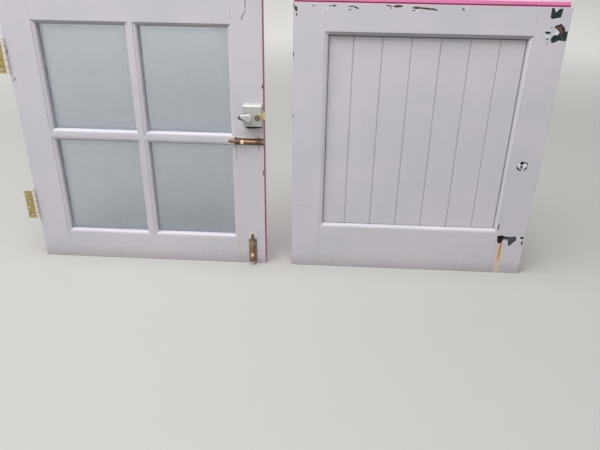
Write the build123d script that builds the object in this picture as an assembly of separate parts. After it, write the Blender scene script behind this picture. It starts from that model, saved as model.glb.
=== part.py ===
from build123d import *
import os
from math import acos, degrees, pi, sqrt

# A two-leaf stable door, taken out of its frame. The half-glazed upper leaf and
# the boarded lower leaf stand side by side, inside faces towards -Y, hinge sides
# to the left. The origin is the middle of the lower leaf's bottom edge, +Z is up.
# Each leaf is first built in its own frame: x from the hinge edge, y from the
# inside face towards the outside, z from the bottom edge.

# Both leaves
leaf_width = 762.0
leaf_thickness = 44.0
leaf_gap = 88.0
stile_width = 90.0
arris = 1.2

# Meeting rebate: the lower leaf's upstand goes behind the upper leaf
upstand_height = 12.0
upstand_thickness = 22.0
meeting_clearance = 2.0
rebate_side_clearance = 1.0

# Upper leaf
upper_height = 870.0
upper_top_rail_width = 90.0
upper_bottom_rail_width = 91.0
bar_flat = 13.0

# Lower leaf
lower_face_height = 842.0
lower_top_rail_width = 88.0
lower_bottom_rail_width = 145.0

# Moulding worked on the inside edges
moulding_width = 11.5
moulding_depth = 17.0
quirk_depth = 1.8
fillet_width = 2.4
ovolo_depth = 11.0

# Joints between stiles and rails
tenon_thickness = 14.0
tenon_length = 58.0
tenon_shoulder = 14.0
tenon_clearance = 0.2
mortise_end_gap = 1.0
stub_tenon_length = 10.0

# Glass and its outside beads
glass_thickness = 4.0
glass_edge_gap = 1.5
bead_width = 10.5
bead_setback = 4.0
bead_splay = 5.0

# Boarded panel
board_count = 7
board_thickness = 12.0
board_gap = 0.4
board_end_gap = 1.0
v_joint_depth = 2.6
tongue_thickness = 4.0
tongue_length = 6.0
tongue_clearance = 0.2
panel_bead_setback = 2.0

# Spindle hole and keyhole of a lock that is gone, in the lower leaf's lock stile,
# and the round scar of its rose: arcs of lost paint as (start, sweep) in degrees
lock_hole_radius = 5.5
lock_hole_setback = 56.0
lock_hole_z = 391.0
keyhole_radius = 3.5
keyhole_drop = 11.5
keyhole_slot_width = 3.5
keyhole_slot_length = 8.0
rose_scar_radius = 15.5
rose_scar_width = 2.6
rose_scar_shift = 2.0
rose_scar_drop = 8.0
rose_scar_arcs = ((192, 76), (290, 55), (10, 28))

# Damage on the inside face of the lower lock stile. Flakes are as deep as the old
# paint is thick, and the wood is torn or rotted deeper. Outlines are (x, z) from the
# lock edge, the first three from the ledge and the others from the bottom edge.
flake_depth = 0.5
tear_depth = 2.2
rot_depth = 9.0
crack_depth = 5.0
upper_flaked_mark = (
    (-57, -2), (-50, -2), (-44.5, -13), (-36, -4), (-26, -2),
    (-28, -26), (-45, -29.5), (-51, -30), (-56, -27))
lower_flaked_mark = (
    (-41, -53), (-37, -47), (-22, -43), (-11, -54), (-9, -62), (1, -62), (1, -87), (-8, -88),
    (-22, -86.5), (-33, -93), (-41, -93), (-44.5, -82), (-38, -73), (-27, -72), (-24, -65), (-34, -55))
torn_mark = (
    (-40, -52), (-37, -48), (-29.5, -46), (-27, -42.5), (-22, -42.5), (-18, -48),
    (-11, -54), (-12, -60), (-15, -72), (-22, -76), (-25, -71), (-23, -65), (-33, -54.5))
rotted_hole = (
    (-89.5, 142), (-87, 138), (-79, 140), (-70, 140), (-68, 130), (-72.5, 111.5), (-81, 110),
    (-86, 113), (-88, 124))
torn_band = (
    (-70, 139.5), (-63, 136), (-57, 137.5), (-47, 137), (-30, 138.5), (-25.5, 125), (-38, 111.5),
    (-45.5, 102.5), (-49.5, 103.5), (-54.5, 121.5), (-62, 126.5), (-69.5, 125))
edge_nick = ((-17, 136.5), (-4.5, 138.5), (-4, 129), (-15.5, 128.5))
lower_edge_nick = ((-10.5, 122), (-5, 123.5), (-4.5, 107), (-9, 106.5))
quirk_crack = ((-93, 180), (-89.5, 181), (-90, 168), (-91, 160.5), (-92.5, 163))

# Small flakes as (x, z, half length, half height, tilt), down from the ledge. The
# first are given from the hinge edge, the others from the lock edge.
ledge_flakes = (
    (0, -8, 3, 6.5, 0), (7.5, -17, 4, 7.5, 15), (9, -32, 2, 4.6, 20), (55.5, -8.3, 4, 1.6, -25),
    (101, -8.3, 2.4, 1.9, 0), (113, -7.4, 7.6, 2.4, 0), (161, -8, 8.6, 1.9, -2),
    (175, -11.3, 7.6, 2.2, -22), (157.5, -17, 4.8, 1.5, 18), (264.5, -4.7, 8.5, 1.9, -8),
    (289, -5.6, 13.5, 3.2, 2), (271, -11, 1.4, 3, 0), (340, -8.5, 11, 3.4, 0),
    (365, -10, 30, 2.6, -5), (390, -12, 9, 2.4, -14), (333.5, -16, 4.6, 1.4, 0),
    (468, -10, 4.6, 2.2, -40))
lock_side_flakes = (
    (-55.5, -66.5, 8, 3.2, -4), (-47.3, -53, 1.4, 3.2, -20), (-54, -83.5, 2.8, 2, 0),
    (-51, -95.5, 2.2, 1.2, 0), (-0.5, -36, 1.6, 3.4, 0), (-0.5, -27, 1.4, 1.8, 0))

# Crack near the top of the upper leaf's lock stile, from the lock edge and the top
upper_crack_depth = 0.8
upper_crack = ((-47.8, -12), (-46.6, -12), (-46.4, -44), (-47.4, -46), (-48.2, -44))
slanting_crack = ((-46.4, -49.5), (-45.6, -51), (-58.6, -76.5), (-60.8, -77), (-60.4, -74))

# Butt hinges
hinge_length = 101.6
hinge_offset = 195.0
hinge_gap = 3.0
flap_width = 31.0
flap_thickness = 2.6
pin_stand = 6.0
pin_radius = 2.5
knuckle_radius = 5.2
knuckle_count = 5
knuckle_clearance = 0.3
running_clearance = 0.05
housing_clearance = 0.1
flap_hole_radius = 2.6
flap_hole_heights = (36.6, 11.0, -11.0, -36.6)
flap_hole_reach = 20.5
flap_hole_stagger = 2.8
flap_countersink = 1.8
hinge_screw_length = 30.0

# Wood screws
countersink_angle = 90.0
screw_flush = 0.15
screw_head_share = 2.0
slot_width_share = 0.25
slot_depth_share = 0.33
pilot_clearance = 0.05

# Night latch
backset = 40.0
latch_rise = 86.5
latch_height = 64.0
latch_depth = 30.0
latch_edge_gap = 2.0
latch_width = 58.0
latch_wall = 2.5
latch_corner = 2.5
back_plate_thickness = 2.0
back_plate_gap = 0.5
latch_fit_gap = 0.3
bolt_height = 22.0
bolt_thickness = 14.0
bolt_length = 37.0
bolt_reach = 8.0
bolt_bevel = 6.5
bolt_plane = 14.0
knob_drop = 2.0
knob_radius = 11.5
knob_tip_radius = 6.5
knob_tip_reach = 25.0
knob_lean = 5.5
knob_thickness = 11.0
knob_stand = 9.0
knob_hub_radius = 9.0
knob_round = 3.0
spindle_radius = 6.0
collar_radius = 9.0
collar_thickness = 3.0
snib_offset = 25.0
snib_drop = 3.5
snib_radius = 8.5
snib_thickness = 4.0
snib_dish = 1.0
snib_stem_radius = 3.0
snib_travel = 6.0
snib_foot_radius = 5.0
snib_foot_thickness = 2.0
back_screw_inset = 7.0
back_screw_length = 18.0
back_screw_radius = 1.8

# Rim cylinder on the outside
cylinder_hole_radius = 16.0
cylinder_radius = 14.0
cylinder_length = 34.0
cylinder_head_radius = 17.0
cylinder_head_thickness = 2.5
ring_radius = 21.0
ring_thickness = 4.0
ring_splay = 2.0
plug_radius = 6.5
keyway_width = 2.0
keyway_height = 8.0
keyway_depth = 24.0
bar_width = 6.0
bar_thickness = 1.6
bar_stop = 5.0
bar_hole_radius = 5.0
fixing_screw_radius = 2.2
fixing_screw_reach = 9.5
fixing_screw_grip = 8.0
fixing_head_radius = 3.8

# Barrel bolts
plate_length = 90.0
plate_height = 27.0
plate_thickness = 2.2
plate_corner = 2.0
plate_tail = 25.5
rod_radius = 4.75
rod_lift = 0.55
rod_clearance = 0.1
band_wall = 2.2
tail_reach = 20.0
tail_point = 7.0
tail_tip_radius = 3.4
tip_chamfer = 1.2
bolt_neck_radius = 4.2
bolt_knob_radius = 7.5
bolt_knob_reach = 16.0
bolt_knob_flat = 5.8
tail_band = (1.0, 17.0)
bolt_screw_x = (6.0, 75.0)
bolt_screw_rise = 10.3
bolt_screw_radius = 1.3
bolt_screw_length = 16.0
cross_bolt_end_gap = 1.0
cross_bolt_rise = 0.0
cross_bolt_band = (67.0, 85.0)
cross_bolt_knob_x = 26.0
drop_bolt_setback = 42.0
drop_bolt_end_gap = 3.0
drop_bolt_band = (78.0, 90.0)
drop_bolt_knob_x = 56.0
drop_bolt_screw_x = (6.0, 84.0)

# Worked out from the sizes above
lower_height = lower_face_height + upstand_height
half_thickness = leaf_thickness / 2
opening_left = stile_width
opening_right = leaf_width - stile_width
glass_back = moulding_depth + glass_thickness
board_back = moulding_depth + board_thickness
tenon_front = half_thickness - tenon_thickness / 2
upper_opening_bottom = upper_bottom_rail_width
upper_opening_top = upper_height - upper_top_rail_width
lower_opening_bottom = lower_bottom_rail_width
lower_opening_top = lower_height - lower_top_rail_width
bar_x = (opening_left + opening_right) / 2
bar_z = (upper_opening_bottom + upper_opening_top) / 2
latch_centre_z = bar_z + latch_rise
cross_bolt_z = bar_z + cross_bolt_rise
drop_bolt_x = leaf_width - drop_bolt_setback
lock_hole_x = leaf_width - lock_hole_setback
upper_leaf_place = Pos(-1.5 * leaf_width - leaf_gap, -half_thickness, 0)
lower_leaf_place = Pos(-0.5 * leaf_width, -half_thickness, 0)
pin_x = -hinge_gap / 2
knob_x = leaf_width - backset
knob_z = latch_centre_z - knob_drop
latch_right = leaf_width - latch_edge_gap
latch_left = latch_right - latch_width
latch_inner_front = -latch_depth + latch_wall
snib_x = knob_x + snib_offset
snib_z = latch_centre_z - snib_drop
plug_back = leaf_thickness - cylinder_length
back_screw_head = screw_head_share * back_screw_radius
bolt_screw_head = screw_head_share * bolt_screw_radius
pane_columns = {
    "left": (opening_left, bar_x - bar_flat / 2),
    "right": (bar_x + bar_flat / 2, opening_right),
}
pane_rows = {
    "bottom": (upper_opening_bottom, bar_z - bar_flat / 2),
    "top": (bar_z + bar_flat / 2, upper_opening_top),
}


# A box given by its lowest and highest corner.
def block(x1, x2, y1, y2, z1, z2):
    centre = Pos((x1 + x2) / 2, (y1 + y2) / 2, (z1 + z2) / 2)
    return centre * Box(x2 - x1, y2 - y1, z2 - z1)


# A cylinder whose axis runs along y from y1 to y2.
def rod_along_y(x, z, radius, y1, y2):
    return Pos(x, (y1 + y2) / 2, z) * Rot(90, 0, 0) * Cylinder(radius, abs(y2 - y1))


# A strip along x whose ends are mitred at 45 degrees, from a closed y-z outline
# that rises from the member's edge at z = 0 to the given width.
def mitred_strip(outline, length, width):
    strip = extrude(Plane.YZ * outline, amount=length)
    mitre = Polyline((0, 0), (length, 0), (length - width, width), (width, width), close=True)
    prism = extrude(Plane.XZ * make_face(mitre), amount=-leaf_thickness)
    return strip & prism


# The quirk, the fillet and the ovolo, as worked on a stile, rail or bar.
def moulding_outline():
    rise = moulding_width - fillet_width
    fall = ovolo_depth - quirk_depth
    half = sqrt(0.5)
    bend = (quirk_depth + fall * (1 - half), fillet_width + rise * half)
    start = (quirk_depth, fillet_width)
    end = (ovolo_depth, moulding_width)
    lines = Polyline((moulding_depth, moulding_width), (moulding_depth, 0), (quirk_depth, 0), start)
    curve = ThreePointArc(start, bend, end)
    back = Line(end, (moulding_depth, moulding_width))
    return make_face(lines + curve + back)


# A planted bead with one splayed corner, between the two depths given.
def bead_outline(front, back):
    return make_face(Polyline(
        (front, 0), (back, 0), (back, bead_width - bead_splay),
        (back - bead_splay / 2, bead_width), (front, bead_width), close=True))


# The four mitred strips that line an opening, named by the side they lie on.
def lining(outline, width, x1, x2, z1, z2):
    across = mitred_strip(outline, x2 - x1, width)
    upright = mitred_strip(outline, z2 - z1, width)
    return {
        "bottom": Pos(x1, 0, z1) * across,
        "top": Pos(x2, 0, z2) * Rot(0, 180, 0) * across,
        "left": Pos(x1, 0, z2) * Rot(0, 90, 0) * upright,
        "right": Pos(x2, 0, z1) * Rot(0, -90, 0) * upright,
    }


def moulding(x1, x2, z1, z2):
    return lining(moulding_outline(), moulding_width, x1, x2, z1, z2)


# A stile with its outer arrises eased, before mouldings and joints.
def plain_stile(x, height):
    body = block(x, x + stile_width, 0, leaf_thickness, 0, height)
    outer = body.edges().filter_by(Axis.Z).group_by(Axis.X)
    return chamfer(outer[0] if x == 0 else outer[-1], arris)


# The tenons on both ends of a rail, or the mortises when a clearance is given.
def tenons(z1, z2, clearance=0.0, end_gap=0.0):
    front = tenon_front - clearance
    back = tenon_front + tenon_thickness + clearance
    low = z1 + tenon_shoulder - clearance
    high = z2 - tenon_shoulder + clearance
    reach = tenon_length + end_gap
    left = block(opening_left - reach, opening_left, front, back, low, high)
    right = block(opening_right, opening_right + reach, front, back, low, high)
    return left + right


def mortises(z1, z2):
    return tenons(z1, z2, tenon_clearance, mortise_end_gap)


# The stub tenons of both glazing bars, or their mortises.
def bar_stubs(clearance=0.0):
    half = bar_flat / 2 + clearance
    front = tenon_front - clearance
    back = tenon_front + tenon_thickness + clearance
    reach = stub_tenon_length + (mortise_end_gap if clearance else 0)
    cross = block(opening_left - reach, opening_right + reach, front, back, bar_z - half, bar_z + half)
    low = upper_opening_bottom - reach
    high = upper_opening_top + reach
    upright = block(bar_x - half, bar_x + half, front, back, low, high)
    return cross, upright


# A hollow with an outline of points (x, z) from a corner of the inside face.
def hollow(points, corner_x, corner_z, depth):
    outline = Plane.XZ * make_face(Polyline(*points, close=True))
    return Pos(corner_x, -1, corner_z) * extrude(outline, amount=-depth - 1)


# An oval flake of lost paint, placed from the same kind of corner.
def flake(corner_x, corner_z, x, z, half_length, half_height, tilt):
    oval = Plane.XZ * Rot(0, 0, tilt) * Ellipse(half_length, half_height)
    return Pos(corner_x + x, -1, corner_z + z) * extrude(oval, amount=-flake_depth - 1)


# The damage on the lower leaf's lock stile.
def lock_stile_damage():
    ledge = (leaf_width, lower_face_height)
    bottom = (leaf_width, 0)
    hollows = [
        hollow(upper_flaked_mark, *ledge, flake_depth),
        hollow(lower_flaked_mark, *ledge, flake_depth),
        hollow(torn_mark, *ledge, tear_depth),
        hollow(torn_band, *bottom, tear_depth),
        hollow(edge_nick, *bottom, flake_depth),
        hollow(lower_edge_nick, *bottom, flake_depth),
        hollow(rotted_hole, *bottom, rot_depth),
        hollow(quirk_crack, *bottom, crack_depth),
    ]
    return hollows + [flake(*ledge, *place) for place in lock_side_flakes]


def ledge_damage():
    return [flake(0, lower_face_height, *place) for place in ledge_flakes]


# The lock's spindle hole and keyhole, and the scar of its rose.
def old_lock_holes():
    across = (-1, leaf_thickness + 1)
    keyhole_z = lock_hole_z - keyhole_drop
    holes = [
        rod_along_y(lock_hole_x, lock_hole_z, lock_hole_radius, *across),
        rod_along_y(lock_hole_x, keyhole_z, keyhole_radius, *across),
        block(lock_hole_x - keyhole_slot_width / 2, lock_hole_x + keyhole_slot_width / 2, *across,
              keyhole_z - keyhole_slot_length, keyhole_z),
    ]
    scar_place = Pos(lock_hole_x + rose_scar_shift, -1, lock_hole_z - rose_scar_drop)
    for start, sweep in rose_scar_arcs:
        arc = SlotArc(CenterArc((0, 0), rose_scar_radius, start, sweep), rose_scar_width)
        holes.append(scar_place * extrude(Plane.XZ * arc, amount=-flake_depth - 1))
    return holes


# The space in front of the lower leaf's upstand.
def ledge_space():
    return block(-1, leaf_width + 1, -1, upstand_thickness, lower_face_height, lower_height + 1)


# The space that the upstand fills behind the upper leaf's bottom edge.
def upper_rebate_space():
    front = upstand_thickness - rebate_side_clearance
    top = upstand_height + meeting_clearance
    return block(-1, leaf_width + 1, front, leaf_thickness + 1, -1, top)


# A countersunk wood screw whose head lies flush at the origin, driven along -Z.
def wood_screw(radius, head_radius, length):
    cone = (head_radius - radius) * 90.0 / countersink_angle
    profile = Polyline(
        (0, -screw_flush), (head_radius - screw_flush, -screw_flush), (radius, -cone),
        (radius, -length + 2 * radius), (0, -length), close=True)
    screw = revolve(Plane.XZ * make_face(profile), Axis.Z)
    slot_width = slot_width_share * head_radius
    slot = Pos(0, 0, -screw_flush) * Box(2 * head_radius, slot_width, slot_depth_share * head_radius)
    return screw - slot


# The hole that such a screw fills: countersink, then pilot.
def screw_hole(radius, head_radius, length):
    wide = head_radius + pilot_clearance
    thin = radius + pilot_clearance
    cone = (head_radius - radius) * 90.0 / countersink_angle
    profile = Polyline(
        (0, 1), (wide, 1), (wide, 0), (thin, -cone), (thin, -length - 1), (0, -length - 1), close=True)
    return revolve(Plane.XZ * make_face(profile), Axis.Z)


# Flap holes as (distance from the pin, height from the hinge's middle).
def flap_holes():
    side = 1
    holes = []
    for height in flap_hole_heights:
        holes.append((flap_hole_reach + side * flap_hole_stagger, height))
        side = -side
    return holes


# One hinge flap, with the pin's axis at the origin and the flap along +y. The
# knuckles with the given numbers are its own, counted from the bottom.
def hinge_flap(own):
    near = hinge_gap / 2
    far = near + flap_thickness
    pitch = hinge_length / knuckle_count
    flap = block(near, far, 0, flap_width, -hinge_length / 2, hinge_length / 2)
    for number in range(knuckle_count):
        middle = Pos(0, 0, (number + 0.5) * pitch - hinge_length / 2)
        if number in own:
            flap += middle * Cylinder(knuckle_radius, pitch - knuckle_clearance)
        else:
            outer = number in (0, knuckle_count - 1)
            room = pitch + knuckle_clearance * (2 if outer else 1)
            flap -= middle * Cylinder(knuckle_radius + knuckle_clearance, room)
    flap -= Cylinder(pin_radius + running_clearance, hinge_length + 2)
    head = hinge_head_radius()
    for reach, height in flap_holes():
        hole = screw_hole(flap_hole_radius - pilot_clearance, head, flap_thickness)
        flap -= Pos(near, reach, height) * Rot(0, -90, 0) * hole
    return flap


# A right-angled countersink widens by as much as it is deep.
def hinge_head_radius():
    return flap_hole_radius + flap_countersink


def hinge_screws():
    radius = flap_hole_radius - 2 * pilot_clearance
    screw = wood_screw(radius, hinge_head_radius() - pilot_clearance, hinge_screw_length)
    return [Pos(hinge_gap / 2, reach, height) * Rot(0, -90, 0) * screw for reach, height in flap_holes()]


# The housing for the fixed flap and the holes of its screws, cut from the stile.
def hinge_housing():
    gap = housing_clearance
    half = hinge_length / 2 + gap
    inner = hinge_gap / 2 + flap_thickness + gap
    space = block(-hinge_gap, inner, 0, flap_width + gap, -half, half)
    for reach, height in flap_holes():
        hole = screw_hole(flap_hole_radius - pilot_clearance, hinge_head_radius(), hinge_screw_length)
        space += Pos(hinge_gap / 2, reach, height) * Rot(0, -90, 0) * hole
    return space


def hinge_place(height):
    return Pos(pin_x, -pin_stand, height)


def hinge(height):
    even = range(0, knuckle_count, 2)
    odd = range(1, knuckle_count, 2)
    free = Rot(0, 0, 90) * mirror(hinge_flap(odd), about=Plane.YZ)
    place = hinge_place(height)
    return {
        "fixed_flap": place * hinge_flap(even),
        "free_flap": place * free,
        "pin": place * Cylinder(pin_radius, hinge_length),
        "screws": [place * screw for screw in hinge_screws()],
    }


# Places of the four screws that hold the latch's back plate.
def back_screw_places():
    low = latch_centre_z - latch_height / 2 + latch_wall + back_screw_inset
    high = latch_centre_z + latch_height / 2 - latch_wall - back_screw_inset
    left = latch_left + latch_wall + back_screw_inset
    right = latch_right - latch_wall - back_screw_inset
    return [(x, z) for x in (left, right) for z in (low, high)]


def fixing_screw_places():
    return [(knob_x - fixing_screw_reach, knob_z), (knob_x + fixing_screw_reach, knob_z)]


def latch_case():
    low = latch_centre_z - latch_height / 2
    high = latch_centre_z + latch_height / 2
    case = block(latch_left, latch_right, -latch_depth, 0, low, high)
    front = case.edges().group_by(Axis.Y)[0]
    sides = case.edges().filter_by(Axis.Y)
    case = chamfer(front + sides, latch_corner)
    wall = latch_wall
    case -= block(latch_left + wall, latch_right - wall, -latch_depth + wall, 1, low + wall, high - wall)
    room = latch_fit_gap
    rise = bolt_height / 2 + room
    slide = bolt_thickness / 2 + room
    window = (-bolt_plane - slide, -bolt_plane + slide, latch_centre_z - rise, latch_centre_z + rise)
    case -= block(latch_right - 2 * wall, latch_right + 1, *window)
    through = (-latch_depth - 1, -latch_depth + 2 * wall)
    case -= rod_along_y(knob_x, knob_z, spindle_radius + running_clearance, *through)
    slot_radius = snib_stem_radius + room
    for rise in (0, snib_travel):
        case -= rod_along_y(snib_x, snib_z + rise, slot_radius, *through)
    case -= block(snib_x - slot_radius, snib_x + slot_radius, *through, snib_z, snib_z + snib_travel)
    return case


def latch_back_plate():
    edge = latch_wall + back_plate_gap
    half = latch_height / 2 - edge
    plate = block(latch_left + edge, latch_right - edge, -back_plate_thickness, 0,
                  latch_centre_z - half, latch_centre_z + half)
    plate -= rod_along_y(knob_x, knob_z, bar_hole_radius, -back_plate_thickness - 1, 1)
    for x, z in fixing_screw_places():
        plate -= rod_along_y(x, z, fixing_screw_radius + pilot_clearance, -back_plate_thickness - 1, 1)
    for x, z in back_screw_places():
        plate -= Pos(x, -back_plate_thickness, z) * Rot(90, 0, 0) * screw_hole(
            back_screw_radius, back_screw_head, back_screw_length)
    return plate


def latch_back_screws():
    screw = wood_screw(back_screw_radius, back_screw_head, back_screw_length)
    return [Pos(x, -back_plate_thickness, z) * Rot(90, 0, 0) * screw for x, z in back_screw_places()]


# Machine screws from the back plate into the cylinder's inner end.
def latch_fixing_screws():
    screws = []
    for x, z in fixing_screw_places():
        shank = rod_along_y(x, z, fixing_screw_radius, -back_plate_thickness, plug_back + fixing_screw_grip)
        head = rod_along_y(x, z, fixing_head_radius, -back_plate_thickness - fixing_screw_radius,
                           -back_plate_thickness)
        screws.append(shank + head)
    return screws


# The spring bolt: its nose is bevelled on the side that meets the frame first.
def latch_bolt():
    nose = leaf_width + bolt_reach
    outline = Polyline(
        (nose - bolt_length, -bolt_plane - bolt_thickness / 2), (nose, -bolt_plane - bolt_thickness / 2),
        (nose, -bolt_plane - bolt_thickness / 2 + bolt_bevel / 2),
        (nose - bolt_bevel, -bolt_plane + bolt_thickness / 2),
        (nose - bolt_length, -bolt_plane + bolt_thickness / 2), close=True)
    base = Plane.XY.offset(latch_centre_z - bolt_height / 2)
    return extrude(base * make_face(outline), amount=bolt_height)


# A drop-shaped turn: two circles joined by their common tangents, its tip a little
# raised so that the upper edge lies level.
def latch_knob():
    lean = acos((knob_radius - knob_tip_radius) / knob_tip_reach)
    cosine = (knob_radius - knob_tip_radius) / knob_tip_reach
    sine = sqrt(1 - cosine * cosine)
    big = (-knob_radius * cosine, knob_radius * sine)
    small = (-knob_tip_reach - knob_tip_radius * cosine, knob_tip_radius * sine)
    web = make_face(Polyline(big, small, (small[0], -small[1]), (big[0], -big[1]), close=True))
    outline = Circle(knob_radius) + web + Pos(-knob_tip_reach, 0) * Circle(knob_tip_radius)
    outline = Rot(0, 0, -knob_lean) * outline
    grip = extrude(Plane.XZ * outline, amount=knob_thickness)
    grip = fillet(grip.edges().group_by(Axis.Y)[0], knob_round)
    grip = Pos(knob_x, -latch_depth - knob_stand, knob_z) * grip
    hub_back = -latch_depth - latch_fit_gap
    hub = rod_along_y(knob_x, knob_z, knob_hub_radius, hub_back, -latch_depth - knob_stand)
    collar_front = latch_inner_front + latch_fit_gap
    spindle = rod_along_y(knob_x, knob_z, spindle_radius, collar_front, hub_back - 1)
    collar = rod_along_y(knob_x, knob_z, collar_radius, collar_front, collar_front + collar_thickness)
    return grip + hub + spindle + collar


# The round snib with a dished face, on a stem that slides in the case's slot.
def latch_snib():
    face = -latch_depth - latch_fit_gap
    front = face - snib_thickness
    disc = rod_along_y(snib_x, snib_z, snib_radius, front, face)
    disc = chamfer(disc.edges().group_by(Axis.Y)[0], snib_dish)
    disc -= rod_along_y(snib_x, snib_z, snib_radius / 2, front - 1, front + snib_dish)
    foot_front = latch_inner_front + latch_fit_gap
    stem = rod_along_y(snib_x, snib_z, snib_stem_radius, face, foot_front)
    foot = rod_along_y(snib_x, snib_z, snib_foot_radius, foot_front, foot_front + snib_foot_thickness)
    return disc + stem + foot


# The outside ring, splayed towards the cylinder's head.
def cylinder_ring():
    face = leaf_thickness
    ring = rod_along_y(knob_x, knob_z, ring_radius, face, face + ring_thickness)
    ring = chamfer(ring.edges().group_by(Axis.Y)[-1], ring_splay)
    bore = cylinder_radius + latch_fit_gap
    return ring - rod_along_y(knob_x, knob_z, bore, face - 1, face + ring_thickness + 1)


def rim_cylinder():
    seat = leaf_thickness + ring_thickness
    body = rod_along_y(knob_x, knob_z, cylinder_radius, plug_back, seat)
    head = rod_along_y(knob_x, knob_z, cylinder_head_radius, seat, seat + cylinder_head_thickness)
    head = chamfer(head.edges().group_by(Axis.Y)[-1], cylinder_head_thickness / 2)
    body += head
    body -= rod_along_y(knob_x, knob_z, plug_radius + running_clearance, plug_back - 1,
                        seat + cylinder_head_thickness + 1)
    for x, z in fixing_screw_places():
        body -= rod_along_y(x, z, fixing_screw_radius + pilot_clearance, plug_back - 1,
                            plug_back + fixing_screw_grip + 1)
    return body


# The plug that the key turns, with its keyway and the bar to the latch.
def key_plug():
    face = leaf_thickness + ring_thickness + cylinder_head_thickness
    plug = rod_along_y(knob_x, knob_z, plug_radius, plug_back, face)
    plug -= block(knob_x - keyway_width / 2, knob_x + keyway_width / 2, face - keyway_depth, face + 1,
                  knob_z - keyway_height / 2, knob_z + keyway_height / 2)
    bar = block(knob_x - bar_thickness / 2, knob_x + bar_thickness / 2, -bar_stop, plug_back,
                knob_z - bar_width / 2, knob_z + bar_width / 2)
    return plug + bar


# A barrel bolt that shoots along +x, its back on y = 0: the plate, round at its tail,
# and its bands.
def bolt_plate(head_band, screw_x):
    axis_y = -plate_thickness - rod_lift - rod_radius
    half = plate_height / 2
    plate = block(half - plate_tail, plate_length, -plate_thickness, 0, -half, half)
    plate = chamfer(plate.edges().filter_by(Axis.Y).group_by(Axis.X)[-1], plate_corner)
    plate += rod_along_y(half - plate_tail, 0, half, -plate_thickness, 0)
    outer = rod_radius + rod_clearance + band_wall
    for start, end in (tail_band, head_band):
        saddle = Pos((start + end) / 2, axis_y, 0) * Rot(0, 90, 0) * Cylinder(outer, end - start)
        saddle += block(start, end, axis_y, -plate_thickness / 2, -outer, outer)
        plate += saddle
    plate -= Pos(plate_length / 2, axis_y, 0) * Rot(0, 90, 0) * Cylinder(rod_radius + rod_clearance,
                                                                          plate_length + 2)
    for x, z in bolt_screw_places(screw_x):
        plate -= Pos(x, -plate_thickness, z) * Rot(90, 0, 0) * screw_hole(
            bolt_screw_radius, bolt_screw_head, bolt_screw_length)
    return plate


def bolt_screw_places(screw_x):
    return [(x, z) for x in screw_x for z in (-bolt_screw_rise, bolt_screw_rise)]


def bolt_screws(screw_x):
    screw = wood_screw(bolt_screw_radius, bolt_screw_head, bolt_screw_length)
    return [Pos(x, -plate_thickness, z) * Rot(90, 0, 0) * screw for x, z in bolt_screw_places(screw_x)]


def bolt_pilots(screw_x):
    hole = screw_hole(bolt_screw_radius, bolt_screw_head, bolt_screw_length)
    places = bolt_screw_places(screw_x)
    return [Pos(x, -plate_thickness, z) * Rot(90, 0, 0) * hole for x, z in places]


# The rod: pointed tail, eased tip, and a turned knob on a neck.
def bolt_rod(rod_knob_x):
    axis_y = -plate_thickness - rod_lift - rod_radius
    profile = Polyline(
        (-tail_reach, 0), (-tail_reach, tail_tip_radius), (-tail_reach + tail_point, rod_radius),
        (plate_length - tip_chamfer, rod_radius), (plate_length, rod_radius - tip_chamfer),
        (plate_length, 0), close=True)
    rod = Pos(0, axis_y, 0) * revolve(Plane.XZ * make_face(profile), Axis.X)
    centre_y = axis_y - bolt_knob_reach + bolt_knob_radius
    neck = rod_along_y(rod_knob_x, 0, bolt_neck_radius, axis_y, centre_y)
    ball = Pos(rod_knob_x, centre_y, 0) * Sphere(bolt_knob_radius)
    ball &= rod_along_y(rod_knob_x, 0, bolt_knob_radius + 1, centre_y - bolt_knob_flat,
                        centre_y + bolt_knob_flat)
    return rod + neck + ball


cross_bolt_place = Pos(leaf_width - cross_bolt_end_gap - plate_length, 0, cross_bolt_z)
drop_bolt_place = Pos(drop_bolt_x, 0, drop_bolt_end_gap + plate_length) * Rot(0, 90, 0)


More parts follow.
